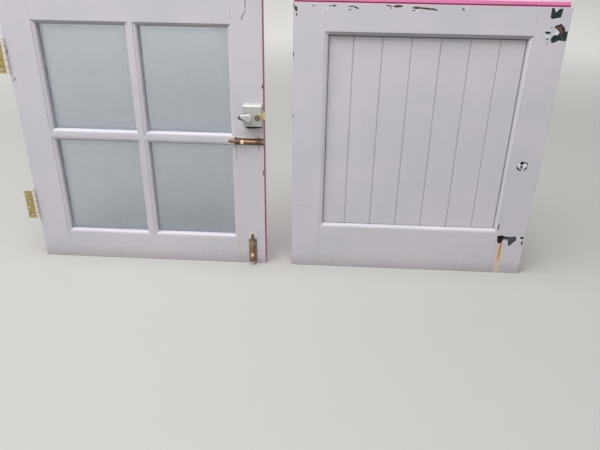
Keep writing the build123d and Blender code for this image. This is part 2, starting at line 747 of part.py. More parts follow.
# The upper leaf's frame, bars, panes and beads.
def upper_woodwork():
    cross_mortise, upright_mortise = bar_stubs(tenon_clearance)
    sticks = {}
    for row, (z1, z2) in pane_rows.items():
        for column, (x1, x2) in pane_columns.items():
            sticks[row, column] = moulding(x1, x2, z1, z2)
    sockets = mortises(0, upper_opening_bottom) + mortises(upper_opening_top, upper_height)

    hinge_stile = plain_stile(0, upper_height)
    hinge_stile += sticks["bottom", "left"]["left"] + sticks["top", "left"]["left"]
    hinge_stile -= sockets + cross_mortise + upper_rebate_space()
    for height in (hinge_offset, upper_height - hinge_offset):
        hinge_stile -= hinge_place(height) * hinge_housing()

    lock_stile = plain_stile(opening_right, upper_height)
    lock_stile += sticks["bottom", "right"]["right"] + sticks["top", "right"]["right"]
    lock_stile -= sockets + cross_mortise + upper_rebate_space()
    lock_stile -= rod_along_y(knob_x, knob_z, cylinder_hole_radius, -1, leaf_thickness + 1)
    for crack in (upper_crack, slanting_crack):
        lock_stile -= hollow(crack, leaf_width, upper_height, upper_crack_depth)
    for x, z in back_screw_places():
        lock_stile -= Pos(x, -back_plate_thickness, z) * Rot(90, 0, 0) * screw_hole(
            back_screw_radius, back_screw_head, back_screw_length)
    pilots = [cross_bolt_place * pilot for pilot in bolt_pilots(bolt_screw_x)]
    pilots += [drop_bolt_place * pilot for pilot in bolt_pilots(drop_bolt_screw_x)]
    for pilot in pilots:
        lock_stile -= pilot

    top_rail = block(opening_left, opening_right, 0, leaf_thickness, upper_opening_top, upper_height)
    top_rail += tenons(upper_opening_top, upper_height)
    top_rail += sticks["top", "left"]["top"] + sticks["top", "right"]["top"]
    top_rail -= upright_mortise

    bottom_rail = block(opening_left, opening_right, 0, leaf_thickness, 0, upper_opening_bottom)
    bottom_rail += tenons(0, upper_opening_bottom)
    bottom_rail += sticks["bottom", "left"]["bottom"] + sticks["bottom", "right"]["bottom"]
    bottom_rail -= upright_mortise + upper_rebate_space()

    cross_stub, upright_stub = bar_stubs()
    half = bar_flat / 2
    upright = block(bar_x - half, bar_x + half, 0, leaf_thickness, upper_opening_bottom, upper_opening_top)
    upright += upright_stub
    for row in pane_rows:
        upright += sticks[row, "left"]["right"] + sticks[row, "right"]["left"]
    square = (bar_x - half, bar_x + half, bar_z - half, bar_z + half)
    upright -= block(*square[:2], half_thickness, leaf_thickness + 1, *square[2:])

    cross = block(opening_left, opening_right, 0, leaf_thickness, bar_z - half, bar_z + half)
    cross += cross_stub
    for column in pane_columns:
        cross += sticks["bottom", column]["top"] + sticks["top", column]["bottom"]
    cross -= block(*square[:2], -1, half_thickness, *square[2:])
    for pilot in pilots:
        cross -= pilot
        bottom_rail -= pilot

    pieces = {
        "upper_hinge_stile": hinge_stile,
        "upper_lock_stile": lock_stile,
        "upper_top_rail": top_rail,
        "upper_bottom_rail": bottom_rail,
        "upright_glazing_bar": upright,
        "cross_glazing_bar": cross,
    }
    for row, (z1, z2) in pane_rows.items():
        for column, (x1, x2) in pane_columns.items():
            gap = glass_edge_gap
            pane = block(x1 + gap, x2 - gap, moulding_depth, glass_back, z1 + gap, z2 - gap)
            pieces["pane_%s_%s" % (row, column)] = pane
            outline = bead_outline(glass_back, leaf_thickness - bead_setback)
            beads = lining(outline, bead_width, x1, x2, z1, z2)
            pieces["glazing_beads_%s_%s" % (row, column)] = list(beads.values())
    return pieces


# One board of the panel: V-jointed front edges, tongue right, groove left.
def board(number):
    pitch = (opening_right - opening_left - 2 * board_end_gap + board_gap) / board_count
    left = opening_left + board_end_gap + number * pitch
    right = left + pitch - board_gap
    front = moulding_depth
    back = board_back
    middle = (front + back) / 2
    low = lower_opening_bottom + board_end_gap
    high = lower_opening_top - board_end_gap
    ease_left = v_joint_depth if number > 0 else 0
    ease_right = v_joint_depth if number < board_count - 1 else 0
    points = [(left, front + ease_left), (left + ease_left, front), (right - ease_right, front),
              (right, front + ease_right), (right, back), (left, back)]
    if number == 0:
        points.pop(0)
    if number == board_count - 1:
        points.remove((right, front + ease_right))
    piece = extrude(Plane.XY.offset(low) * make_face(Polyline(*points, close=True)), amount=high - low)
    half = tongue_thickness / 2
    if number < board_count - 1:
        piece += block(right, right + tongue_length, middle - half, middle + half, low, high)
    if number > 0:
        reach = tongue_length - board_gap + tongue_clearance
        half += tongue_clearance
        piece -= block(left - 1, left + reach, middle - half, middle + half, low - 1, high + 1)
    return piece


# The lower leaf's frame, boards and outside beads.
def lower_woodwork():
    sticks = moulding(opening_left, opening_right, lower_opening_bottom, lower_opening_top)
    sockets = mortises(0, lower_opening_bottom) + mortises(lower_opening_top, lower_face_height)

    hinge_stile = plain_stile(0, lower_height) + sticks["left"]
    hinge_stile -= sockets + ledge_space()
    lock_stile = plain_stile(opening_right, lower_height) + sticks["right"]
    lock_stile -= sockets + ledge_space()
    for space in old_lock_holes() + lock_stile_damage():
        lock_stile -= space

    top_rail = block(opening_left, opening_right, 0, leaf_thickness, lower_opening_top, lower_height)
    top_rail += tenons(lower_opening_top, lower_face_height) + sticks["top"]
    top_rail -= ledge_space()
    for space in ledge_damage():
        hinge_stile -= space
        top_rail -= space
    bottom_rail = block(opening_left, opening_right, 0, leaf_thickness, 0, lower_opening_bottom)
    bottom_rail += tenons(0, lower_opening_bottom) + sticks["bottom"]

    pieces = {
        "lower_hinge_stile": hinge_stile,
        "lower_lock_stile": lock_stile,
        "lower_top_rail": top_rail,
        "lower_bottom_rail": bottom_rail,
    }
    for number in range(board_count):
        pieces["board_%d" % (number + 1)] = board(number)
    outline = bead_outline(board_back, leaf_thickness - panel_bead_setback)
    beads = lining(outline, bead_width, opening_left, opening_right, lower_opening_bottom, lower_opening_top)
    pieces["panel_beads"] = list(beads.values())
    return pieces


def upper_hardware():
    pieces = {}
    for name, height in (("bottom_hinge", hinge_offset), ("top_hinge", upper_height - hinge_offset)):
        for part, solid in hinge(height).items():
            pieces["%s_%s" % (name, part)] = solid
    pieces["latch_case"] = latch_case()
    pieces["latch_back_plate"] = latch_back_plate()
    pieces["latch_back_screws"] = latch_back_screws()
    pieces["latch_fixing_screws"] = latch_fixing_screws()
    pieces["latch_bolt"] = latch_bolt()
    pieces["latch_knob"] = latch_knob()
    pieces["latch_snib"] = latch_snib()
    pieces["cylinder_ring"] = cylinder_ring()
    pieces["rim_cylinder"] = rim_cylinder()
    pieces["key_plug"] = key_plug()
    bolts = (
        ("cross_bolt", cross_bolt_place, cross_bolt_band, cross_bolt_knob_x, bolt_screw_x),
        ("drop_bolt", drop_bolt_place, drop_bolt_band, drop_bolt_knob_x, drop_bolt_screw_x),
    )
    for name, place, band, rod_knob_x, screw_x in bolts:
        pieces[name + "_plate"] = place * bolt_plate(band, screw_x)
        pieces[name + "_rod"] = place * bolt_rod(rod_knob_x)
        pieces[name + "_screws"] = [place * screw for screw in bolt_screws(screw_x)]
    return pieces


def write(pieces, place):
    for name, shape in pieces.items():
        solids = shape if isinstance(shape, list) else [shape]
        placed = [place * solid for solid in solids]
        shape = placed[0] if len(placed) == 1 else Compound(children=placed)
        export_step(shape, "parts/%s.step" % name)


os.makedirs("parts", exist_ok=True)
write(upper_woodwork(), upper_leaf_place)
write(upper_hardware(), upper_leaf_place)
write(lower_woodwork(), lower_leaf_place)
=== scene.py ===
import math
import bpy
import numpy as np
from mathutils import Matrix

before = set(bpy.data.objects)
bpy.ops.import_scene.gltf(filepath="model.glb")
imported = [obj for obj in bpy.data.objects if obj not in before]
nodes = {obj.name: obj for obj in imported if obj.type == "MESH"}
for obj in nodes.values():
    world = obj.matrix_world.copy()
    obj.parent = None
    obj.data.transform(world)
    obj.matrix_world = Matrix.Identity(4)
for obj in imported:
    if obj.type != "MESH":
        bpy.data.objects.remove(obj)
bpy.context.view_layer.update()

# A stable door's two leaves, out of their frame, on a pale floor.
# Every place is in leaf millimetres: x from a leaf's hinge edge, y from its inside
# face towards the outside, z from its bottom edge.

mm = 0.001

leaf = {
    "width": 762.0,
    "thickness": 44.0,
    "upperLeft": -1231.0,
    "lowerLeft": -381.0,
    "insideFace": -22.0,
    "upperHeight": 870.0,
    "lowerFace": 842.0,
    "lowerHeight": 854.0,
    "noTop": 2000.0,  # for pieces whose top edge is not pink
}


def srgb(red, green, blue):
    # a colour as it shows on a screen, 0 to 255, turned into linear light
    shares = []
    for value in (red, green, blue):
        share = value / 255
        shares.append(share / 12.92 if share <= 0.04045 else ((share + 0.055) / 1.055) ** 2.4)
    return (*shares, 1.0)


class Signal:
    # one output of a material's nodes; arithmetic on it adds Math nodes
    def __init__(self, graph, socket):
        self.graph = graph
        self.socket = socket

    def math(self, operation, first, second, clamp=False):
        return self.graph.node("ShaderNodeMath", {"operation": operation, "use_clamp": clamp},
                               {0: first, 1: second})

    def __add__(self, other):
        return self.math("ADD", self, other)

    def __radd__(self, other):
        return self.math("ADD", other, self)

    def __sub__(self, other):
        return self.math("SUBTRACT", self, other)

    def __rsub__(self, other):
        return self.math("SUBTRACT", other, self)

    def __mul__(self, other):
        return self.math("MULTIPLY", self, other)

    def __rmul__(self, other):
        return self.math("MULTIPLY", other, self)

    def __or__(self, other):
        return self.math("MAXIMUM", self, other)

    def __and__(self, other):
        return self.math("MINIMUM", self, other)

    def __abs__(self):
        return self.graph.node("ShaderNodeMath", {"operation": "ABSOLUTE"}, {0: self})

    def clip(self):
        return self.math("ADD", self, 0.0, True)


class Graph:
    # one material or world, its surface shader and the nodes that feed it
    def __init__(self, name, store=bpy.data.materials, surface="Principled BSDF"):
        self.owner = store.new(name)
        self.owner.use_nodes = True
        self.tree = self.owner.node_tree
        self.surface = self.tree.nodes[surface]

    def node(self, kind, settings=None, inputs=None, output=0):
        made = self.tree.nodes.new(kind)
        for key, value in (settings or {}).items():
            setattr(made, key, value)
        for key, value in (inputs or {}).items():
            self.feed(made.inputs[key], value)
        return Signal(self, made.outputs[output])

    def feed(self, socket, value):
        if isinstance(value, Signal):
            self.tree.links.new(value.socket, socket)
        else:
            socket.default_value = value

    def shade(self, **values):
        for key, value in values.items():
            self.feed(self.surface.inputs[key.replace("_", " ")], value)

    # leaf millimetres of the shaded point, as a vector
    def leafPlace(self, left):
        where = self.node("ShaderNodeTexCoord", output=3)
        shift = (-left, -leaf["insideFace"], 0.0)
        return self.node("ShaderNodeVectorMath", {"operation": "MULTIPLY_ADD"},
                         {0: where, 1: (1000.0, 1000.0, 1000.0), 2: shift})

    # a place scaled along each axis, which draws a noise out along the axis made short
    def stretch(self, place, x, y, z):
        return self.node("ShaderNodeVectorMath", {"operation": "MULTIPLY"},
                         {0: place, 1: (x, y, z)})

    # fractal noise from 0 to 1; size is the wavelength in the place's own units;
    # output 1 is the same noise as a colour, one value for each axis
    def noise(self, place, size, detail=3.0, rough=0.55, output=0):
        values = {"Vector": place, "Scale": 1.0 / size, "Detail": detail, "Roughness": rough}
        return self.node("ShaderNodeTexNoise", None, values, output)

    # 0 below low, 1 above high, an S-curve between
    def step(self, value, low, high):
        return self.node("ShaderNodeMapRange", {"interpolation_type": "SMOOTHSTEP"},
                         {0: value, 1: low, 2: high, 3: 0.0, 4: 1.0})

    # one colour at share 0, the other at share 1
    def mix(self, share, low, high):
        return self.node("ShaderNodeMix", {"data_type": "RGBA"}, {0: share, 6: low, 7: high}, 2)

    def axes(self, place):
        split = self.node("ShaderNodeSeparateXYZ", None, {0: place})
        outputs = split.socket.node.outputs
        return [Signal(self, outputs[index]) for index in range(3)]

    # the squared distance from a spot's centre on the leaf's face, 1 on its elliptic rim
    def spot(self, place, x, z, rx, rz, turn):
        cosine, sine = math.cos(math.radians(turn)), math.sin(math.radians(turn))
        across = self.along(place, (cosine / rx, 0.0, sine / rx), (x * cosine + z * sine) / rx)
        upward = self.along(place, (-sine / rz, 0.0, cosine / rz), (z * cosine - x * sine) / rz)
        return across * across + upward * upward

    # how far a place lies along a direction, less a constant
    def along(self, place, direction, constant):
        reach = self.node("ShaderNodeVectorMath", {"operation": "DOT_PRODUCT"},
                          {0: place, 1: direction}, 1)
        return reach - constant

    # 1 inside any of the spots, 0 outside, with a soft rim
    def spots(self, place, marks, rim=0.2):
        nearest = None
        for mark in marks:
            distance = self.spot(place, *mark)
            nearest = distance if nearest is None else nearest & distance
        return 1.0 - self.step(nearest, 1.0 - rim, 1.0 + rim)

    # a normal from heights in millimetres
    def bump(self, height):
        return self.node("ShaderNodeBump", None,
                         {"Strength": 1.0, "Distance": mm, "Height": height})

    # 1 for the rays that show the background: straight, in gloss and through glass
    def backgroundRays(self):
        outputs = self.node("ShaderNodeLightPath").socket.node.outputs
        straight = Signal(self, outputs["Is Camera Ray"])
        gloss = Signal(self, outputs["Is Glossy Ray"])
        through = Signal(self, outputs["Is Transmission Ray"])
        return straight | gloss | through


paint = {
    "inside": srgb(199, 193, 201),
    "cool": srgb(191, 188, 197),
    "warm": srgb(202, 194, 196),
    "edge": srgb(204, 120, 161),
    "edgeDeep": srgb(184, 86, 132),
    # a darker pink for the upper leaf's lock edge, painted shade
    "edgeShade": srgb(98, 58, 80),
    "arris": srgb(218, 180, 194),
    "ledge": srgb(216, 166, 190),
    # lighter copies of the pink for the rebate's riser and upstand, a painted highlight
    "riserLit": srgb(228, 138, 182),
    "riserDeepLit": srgb(206, 104, 152),
    # painted shade at the foot of the riser
    "riserFootShade": srgb(64, 10, 34),
    "dirt": srgb(120, 108, 96),
    # painted shade under mouldings that face down
    "underShade": srgb(46, 48, 54),
    "bareWood": srgb(36, 23, 18),
    "bareWoodPale": srgb(116, 90, 80),
    "darkCoat": srgb(3, 12, 16),
    "darkCoatLight": srgb(16, 55, 59),
    "mint": srgb(178, 204, 204),
    "primer": srgb(224, 232, 236),
    "slate": srgb(84, 88, 92),
    "slateDeep": srgb(52, 52, 54),
    "soot": srgb(24, 16, 12),
    "rust": srgb(196, 146, 96),
    "rustPale": srgb(214, 190, 160),
    "rustDark": srgb(150, 96, 48),
    "rustDeep": srgb(92, 48, 24),
    "roughness": 0.42,
    "brushStep": 1.1,
    "brushLength": 60.0,
    "waveSize": 7.0,
    "mottleSize": 34.0,
    "broadSize": 260.0,
    "splashSize": 15.0,
    "splashReach": 46.0,
    "speckSize": 3.2,
    "edgeWanderSize": 9.0,
    "edgeWander": 1.6,  # how far the pink's border strays
    "wornSize": 12.0,
    "raggedSize": 6.0,
    "ragged": 7.0,  # how far a mark's rim strays
    "gritSize": 2.4,
    "clumpSize": 8.0,
    "scaleSize": 5.0,
    "lineDepth": 0.4,
    "flakeDepth": 0.45,
}

# what shows where the paint is gone: a dark and a light colour
layers = {
    "bareWood": ("bareWood", "bareWoodPale"),
    "darkCoat": ("darkCoat", "darkCoatLight"),
    "mint": ("mint", "primer"),
    "mosaic": ("mint", "primer"),
    "primer": ("primer", "primer"),
    "slate": ("slateDeep", "slate"),
    "rot": ("soot", "rustDeep"),
    "crack": ("darkCoat", "bareWood"),
}
thinLayers = ("primer", "mint", "mosaic")  # worn films, too thin to stand below the paint


def streakColour(graph, place, axes, colour, streaks):
    # streaks that run down from a place: (x, top, bottom, half width, colour, strength)
    x, y, z = axes
    for middle, high, down, half, tone, strength in streaks:
        sway = graph.noise(graph.stretch(place, 0.02, 0.0, 1.0), 90.0, 2.0, 0.5)
        off = abs(x - middle + (sway - 0.5) * 9.0)
        flank = 1.0 - graph.step(off, 0.25 * half, half)
        fade = graph.step(z, down, down + 0.35 * (high - down))
        fall = fade * (1.0 - graph.step(z, high - 2.0, high))
        thread = graph.noise(graph.stretch(place, 1.0, 0.0, 0.05), 4.0, 3.0, 0.6)
        share = flank * fall * strength * graph.step(thread, 0.1, 0.55)
        colour = graph.mix(share.clip(), colour, paint[tone])
    return colour


def lineColour(graph, axes, mottle, colour, height, lines):
    # dark lines at shoulders and in corners, the ones in corners painted shade: (axis, place,
    # from, to, half width); a wide one is solid, a hairline is broken and fainter
    x, y, z = axes
    for axis, at, start, end, half in lines:
        across, run = (x, z) if axis == "x" else (z, x)
        wide = half > 1.5
        inRun = graph.step(run, start, start + 2.0) * (1.0 - graph.step(run, end - 2.0, end))
        gate = 1.0 if wide else graph.step(mottle, 0.3, 0.6)
        hair = (1.0 - graph.step(abs(across - at), 0.15 * half, half)) * inRun * gate
        colour = graph.mix(hair * (0.75 if wide else 0.45), colour, paint["darkCoat"])
        height = height - hair * paint["lineDepth"]
    return colour, height


def pinkColour(graph, place, axes, brushed, colour, top, rebate, side):
    # pink on the leaf's edges and outside, over a wandering paint line, with a darker pink of
    # painted shade on a side given one; a rebated top has a ledge that is pale in front and
    # painted shade behind, and an upstand above it in a lighter pink, a painted highlight
    x, y, z = axes
    halfWidth, middle = leaf["width"] / 2, leaf["thickness"] / 2
    level = leaf["lowerFace"] if rebate else top
    wander = (graph.noise(place, paint["edgeWanderSize"], 3.0, 0.6) - 0.5) * paint["edgeWander"]
    outer = graph.step(abs(x - halfWidth) + wander * 0.12, halfWidth - 0.4, halfWidth - 0.1)
    behind = graph.step(y, middle + 2.0, middle + 4.0)
    upper = graph.step(z + wander * 0.3, level - 1.1, level - 0.4)
    pinkShare = (outer | behind | upper).clip()
    deep = graph.step(graph.noise(brushed, 3.0, 4.0, 0.65), 0.45, 0.72)
    pink = graph.mix(deep * 0.7, paint["edge"], paint["edgeDeep"])
    # the riser and upstand take the lighter pink, a painted highlight where light falls from above
    if rebate:
        pink = graph.mix(upper, pink, graph.mix(deep * 0.7, paint["riserLit"], paint["riserDeepLit"]))
    # a side given its own colour takes it on its outer edge; the lock edge's dark pink is painted
    # shade
    if side != "edge":
        pink = graph.mix(outer * (1.0 - behind) * 0.85, pink, paint[side])
    worn = graph.step(graph.noise(place, paint["wornSize"], 5.0, 0.7), 0.60, 0.68)
    pink = graph.mix(worn * 0.35, pink, paint["inside"])
    if rebate:
        # painted shade in the corner where the ledge meets the riser: the back of the ledge and the
        # riser's foot
        beforeRiser = 1.0 - graph.step(y, middle - 1.4, middle - 0.6)
        onLedge = upper * beforeRiser * (1.0 - graph.step(z, level + 0.2, level + 0.6))
        pink = graph.mix(onLedge * 0.85, pink, paint["ledge"])
        pink = graph.mix(onLedge * graph.step(y + wander, 8.0, 11.0), pink, paint["riserFootShade"])
        foot = 1.0 - graph.step(z + wander * 0.6, level + 2.0, level + 4.0)
        foot = graph.step(y, middle - 0.6, middle - 0.2) * foot * upper
        pink = graph.mix(foot * (1.0 - behind) * 0.9, pink, paint["riserFootShade"])
    if side != "edge":
        brinkDepth = 1.0 - graph.step(y, 1.0, 3.0)
        brink = graph.step(x + wander * 0.5, leaf["width"] - 5.5, leaf["width"] - 2.5) * brinkDepth
        colour = graph.mix(brink * 0.7, colour, paint["arris"])
    colour = graph.mix(pinkShare, colour, pink)
    under = 1.0 - graph.step(z + wander * 0.5, 0.5, 2.0)
    return graph.mix(under * 0.8, colour, paint["dirt"])


def markColour(graph, place, y, grit, clump, colour, height, rough, marks):
    # paint gone down to older coats or to the wood: (layer, spots), and a spot is
    # (x, z, half width, half height, turn in degrees) with a ragged rim
    ragged = graph.noise(place, paint["raggedSize"], 4.0, 0.65, 1)
    reach = paint["ragged"]
    warp = graph.node("ShaderNodeVectorMath", {"operation": "MULTIPLY_ADD"},
                      {0: ragged, 1: (reach, 0.0, reach), 2: (-reach / 2, 0.0, -reach / 2)})
    moved = graph.node("ShaderNodeVectorMath", {"operation": "ADD"}, {0: place, 1: warp})
    flat = graph.stretch(moved, 1.0, 0.0, 1.0)
    for layer, spots in marks:
        dark, light = layers[layer]
        inner = graph.mix(graph.step(grit, 0.42, 0.66), paint[dark], paint[light])
        share = graph.spots(flat, spots) * (1.0 - graph.step(y, 3.0, 6.0))
        if layer in thinLayers:
            share = share * graph.step(grit * 0.4 + clump * 0.6, 0.45, 0.56)
        if layer == "mosaic":
            scales = graph.step(graph.noise(flat, paint["scaleSize"], 3.0, 0.7), 0.52, 0.56)
            inner = graph.mix(scales, inner, paint["darkCoatLight"])
        colour = graph.mix(share, colour, inner)
        depth = 0.0 if layer in thinLayers else paint["flakeDepth"]
        height = height - share * depth + share * grit * 0.3
        rough = rough + share * 0.3
    return colour, height, rough


def hollowColour(graph, axes, grit, colour, rough, area, coats):
    # what a hollow in the inside face shows: deeper coats from the depths given on
    x, y, z = axes
    x1, x2, z1, z2 = area
    inside = graph.step(x, x1, x1 + 0.2) * (1.0 - graph.step(x, x2 - 0.2, x2))
    inside = inside * graph.step(z, z1, z1 + 0.2) * (1.0 - graph.step(z, z2 - 0.2, z2))
    inside = inside * (1.0 - graph.step(y, leaf["thickness"] - 1.0, leaf["thickness"] - 0.4))
    for depth, layer in coats:
        dark, light = layers[layer]
        inner = graph.mix(graph.step(grit, 0.49, 0.58), paint[dark], paint[light])
        islands = graph.step(grit, 0.36, 0.42)
        share = inside * graph.step(y, 0.4 * depth, 0.8 * depth) * (0.25 + 0.75 * islands)
        colour = graph.mix(share, colour, inner)
        rough = rough + share * 0.3
    return colour, rough


def paintMaterial(name, left, top, grain, marks=(), streaks=(), lines=(), hollows=(),
                  rebate=False, side="edge", dim=None):
    # gloss paint over wood: brushed coats, dirt, pink edges, then the layered marks
    graph = Graph(name)
    place = graph.leafPlace(left)
    axes = graph.axes(place)
    x, y, z = axes
    slow = 1.0 / paint["brushLength"]
    brushed = graph.stretch(place, *((slow, 1.0, 1.0) if grain == "x" else (1.0, 1.0, slow)))
    brush = graph.noise(brushed, paint["brushStep"], 4.0, 0.6)
    wave = graph.noise(brushed, paint["waveSize"], 2.0, 0.5)
    broad = graph.noise(place, paint["broadSize"], 3.0, 0.6)
    mottle = graph.noise(place, paint["mottleSize"], 4.0, 0.62)
    colour = graph.mix(graph.step(broad, 0.35, 0.68), paint["cool"], paint["inside"])
    colour = graph.mix(graph.step(mottle, 0.52, 0.78) * 0.5, colour, paint["warm"])
    colour = graph.mix(graph.step(brush, 0.55, 0.9) * 0.10, colour, paint["dirt"])

    # rain splash: dirt that fades upward, in patches
    splash = graph.noise(place, paint["splashSize"], 5.0, 0.7)
    low = 1.0 - graph.step(z + splash * paint["splashReach"], 18.0, 78.0)
    colour = graph.mix((low * 0.34).clip(), colour, paint["dirt"])
    speck = graph.noise(place, paint["speckSize"], 2.0, 0.5)
    specks = graph.step(speck, 0.70, 0.78) * graph.step(mottle, 0.45, 0.7)
    colour = graph.mix(specks * 0.35, colour, paint["dirt"])
    height = brush * 0.05 + wave * 0.12 + mottle * 0.16
    rough = paint["roughness"] + brush * 0.10 + low * 0.25

    colour = streakColour(graph, place, axes, colour, streaks)
    colour, height = lineColour(graph, axes, mottle, colour, height, lines)

    # darker in the quirk of the mouldings
    quirk = graph.step(y, 0.25, 0.7) * (1.0 - graph.step(y, 1.55, 1.78))
    quirk = quirk * (1.0 - graph.step(x, leaf["width"] - 3.0, leaf["width"] - 2.0))
    colour = graph.mix(quirk * graph.step(x, 2.0, 3.0) * 0.5, colour, paint["dirt"])

    # painted shade under a moulding that faces down, between two levels
    if dim:
        shaded = (1.0 - graph.step(z, *dim)) * graph.step(y, 0.3, 1.0)
        shaded = shaded * (0.5 + 0.35 * graph.step(y, 7.0, 11.0))
        colour = graph.mix(shaded, colour, paint["underShade"])

    colour = pinkColour(graph, place, axes, brushed, colour, top, rebate, side)
    grit = graph.noise(place, paint["gritSize"], 4.0, 0.7)
    clump = graph.noise(place, paint["clumpSize"], 3.0, 0.6)
    colour, height, rough = markColour(graph, place, y, grit, clump, colour, height, rough, marks)
    for area, coats in hollows:
        mixedGrit = grit * 0.5 + clump * 0.5
        colour, rough = hollowColour(graph, axes, mixedGrit, colour, rough, area, coats)
    graph.shade(Base_Color=colour, Roughness=rough.clip(), Normal=graph.bump(height))
    return graph.owner


def dress(names, material):
    for name in names:
        piece = nodes[name]
        piece.data.materials.clear()
        piece.data.materials.append(material)


print("scene: paint")
upper, lower = leaf["upperLeft"], leaf["lowerLeft"]
upperTop, lowerTop, noTop = leaf["upperHeight"], leaf["lowerHeight"], leaf["noTop"]
shoulders = (90.6, 671.4)  # where the rails meet the stiles
hairline = 0.9


def shoulderLines(start, end):
    # a broken hairline at both shoulders of a rail, from one level to another
    return [("x", at, start, end, hairline) for at in shoulders]


dress(["upper_hinge_stile"], paintMaterial(
    "paintUpperHingeStile", upper, upperTop, "z",
    [("crack", [(38, 48, 2.2, 1.6, 0)]),
     ("bareWood", [(9, 606, 10.0, 0.9, 38), (4, 690, 2.0, 5.0, 0)])]))
dress(["upper_lock_stile"], paintMaterial(
    "paintUpperLockStile", upper, upperTop, "z",
    [("crack", [(685, 653, 1.6, 1.4, 0)]),
     # the darkCoat strip at 479 is a painted shadow under the latch case
     ("darkCoat", [(732, 479, 27, 3.6, 2)]),
     ("bareWood", [(760, 604, 2, 6, 0), (759, 330, 2, 9, 0)])],
    [(676, 424, -160, 4.5, "rustPale", 0.42), (676, 424, 360, 3.0, "bareWoodPale", 0.50),
     (677, 40, -6, 2.0, "rustDeep", 0.45), (747, 424, 260, 3.5, "rustPale", 0.55),
     # the last streak, slate from 486 down to 462, is painted soft shade under the latch case
     (747, 424, 396, 3.0, "bareWoodPale", 0.50), (732, 486, 462, 30.0, "slate", 0.30)],
    lines=[("x", 715.0, 825, 860, 1.7)],
    # the lock edge takes the darker pink, painted shade
    hollows=[((690, 730, 780, 862), [(0.8, "crack")])], side="edgeShade"))
dress(["upper_top_rail"], paintMaterial(
    "paintUpperTopRail", upper, upperTop, "x",
    lines=shoulderLines(782, 868), dim=(778.0, 781.0)))
dress(["upper_bottom_rail"], paintMaterial(
    "paintUpperBottomRail", upper, upperTop, "x", lines=shoulderLines(2, 88)))
dress(["upright_glazing_bar"], paintMaterial("paintUprightBar", upper, noTop, "z"))
dress(["cross_glazing_bar"], paintMaterial(
    "paintCrossBar", upper, noTop, "x", dim=(421.0, 424.0)))

dress(["lower_hinge_stile"], paintMaterial(
    "paintLowerHingeStile", lower, lowerTop, "z",
    [("bareWood", [(1, 700, 1.6, 7, 0), (1, 520, 1.4, 5, 0), (0.5, 834, 2.2, 7, 0)])],
    lines=[("z", 220, 12, 72, hairline)],
    hollows=[((1.3, 89, 800, 841), [(0.5, "bareWood")])], rebate=True))
dress(["lower_top_rail"], paintMaterial(
    "paintLowerTopRail", lower, lowerTop, "x",
    [("primer", [(93, 825.8, 4.5, 3.5, 0), (338, 826, 12, 2.4, 14), (476, 835, 4, 4, 6),
                 (162, 838, 7, 1.4, 0), (360, 829, 12, 1.6, 4)])],
    lines=shoulderLines(770, 838),
    hollows=[((90, 672, 800, 841.4), [(0.5, "bareWood")])],
    rebate=True, dim=(766.0, 769.0)))
dress(["lower_lock_stile"], paintMaterial(
    "paintLowerLockStile", lower, lowerTop, "z",
    [("mosaic", [(712, 767, 20, 16, 0), (733, 784, 13, 8, -12)]),
     ("mint", [(721, 814, 16, 5, 0)]),
     ("darkCoat", [(698, 371.1, 9, 2.6, -40), (719.3, 372.4, 6.5, 2.2, 47),
                   (722.2, 389.3, 4, 1.2, 114), (712.0, 392.5, 6.5, 3.0, -10)]),
     ("primer", [(723, 836, 4.0, 5.0, 0), (731, 776, 9, 3.2, -25), (733, 774, 5, 4.0, 20),
                 (710, 766, 8, 3.0, 0), (708, 140, 5, 1.6, 0), (721, 143, 6, 1.6, 0),
                 (681, 143, 9, 1.4, -8), (708, 384, 13, 9, 0), (752, 131, 9, 7, 0),
                 (722, 122, 18, 12, 30)]),
     ("crack", [(671, 170.5, 1.8, 10.5, 0)])],
    [(688, 112, -90, 14.5, "rustPale", 0.68), (688, 113, 30, 6.5, "rust", 0.95),
     (688, 113, 62, 4.0, "rustDark", 0.6)],
    lines=[("z", 145.6, 674, 760, hairline)],
    hollows=[((672.3, 760.7, 300, 841), [(0.5, "darkCoat"), (2.2, "bareWood")]),
             ((672.3, 744.0, 90, 300), [(0.5, "slate"), (6.0, "rot")]),
             ((744.0, 760.7, 90, 300), [(0.5, "bareWood")])],
    rebate=True))
dress(["lower_bottom_rail"], paintMaterial(
    "paintLowerBottomRail", lower, lowerTop, "x", lines=shoulderLines(3, 143)))

# painted shade where the boards meet the frame, widest under the top moulding and along the right
# side; the top corner has a second line of it
boardEdges = {"left": 102.0, "right": 660.2, "top": 754.2, "bottom": 156.8}
boardRuns = {"x": (150, 762), "z": (95, 667)}
rims = [("x", boardEdges["left"], *boardRuns["x"], 2.0),
        ("x", boardEdges["right"], *boardRuns["x"], 4.0),
        ("z", boardEdges["top"], *boardRuns["z"], 5.0),
        ("z", boardEdges["top"], *boardRuns["z"], 4.0),
        ("z", boardEdges["bottom"], *boardRuns["z"], 2.0)]
dress(["board_%d" % number for number in range(1, 8)], paintMaterial(
    "paintBoards", lower, noTop, "z", [("crack", [(110, 610, 2.0, 1.6, 0)])], lines=rims))


def beadMaterial(name, left):
    # the outside beads: pink paint, brushed, a little worn
    graph = Graph(name)
    place = graph.leafPlace(left)
    brush = graph.noise(graph.stretch(place, 1.0, 1.0, 0.05), 1.4, 4.0, 0.6)
    deep = graph.step(graph.noise(place, 40.0, 4.0, 0.6), 0.4, 0.7)
    colour = graph.mix(deep * 0.6, paint["edge"], paint["edgeDeep"])
    worn = graph.step(graph.noise(place, 9.0, 5.0, 0.7), 0.63, 0.70)
    colour = graph.mix(worn * 0.5, colour, paint["inside"])
    x, y, z = graph.axes(place)
    near = 1.0 - graph.step(y + worn, 36.0, 38.5)
    colour = graph.mix(near, colour, graph.mix(deep * 0.5, paint["cool"], paint["dirt"]))
    graph.shade(Base_Color=colour, Roughness=(0.4 + brush * 0.15).clip(),
                Normal=graph.bump(brush * 0.08))
    return graph.owner


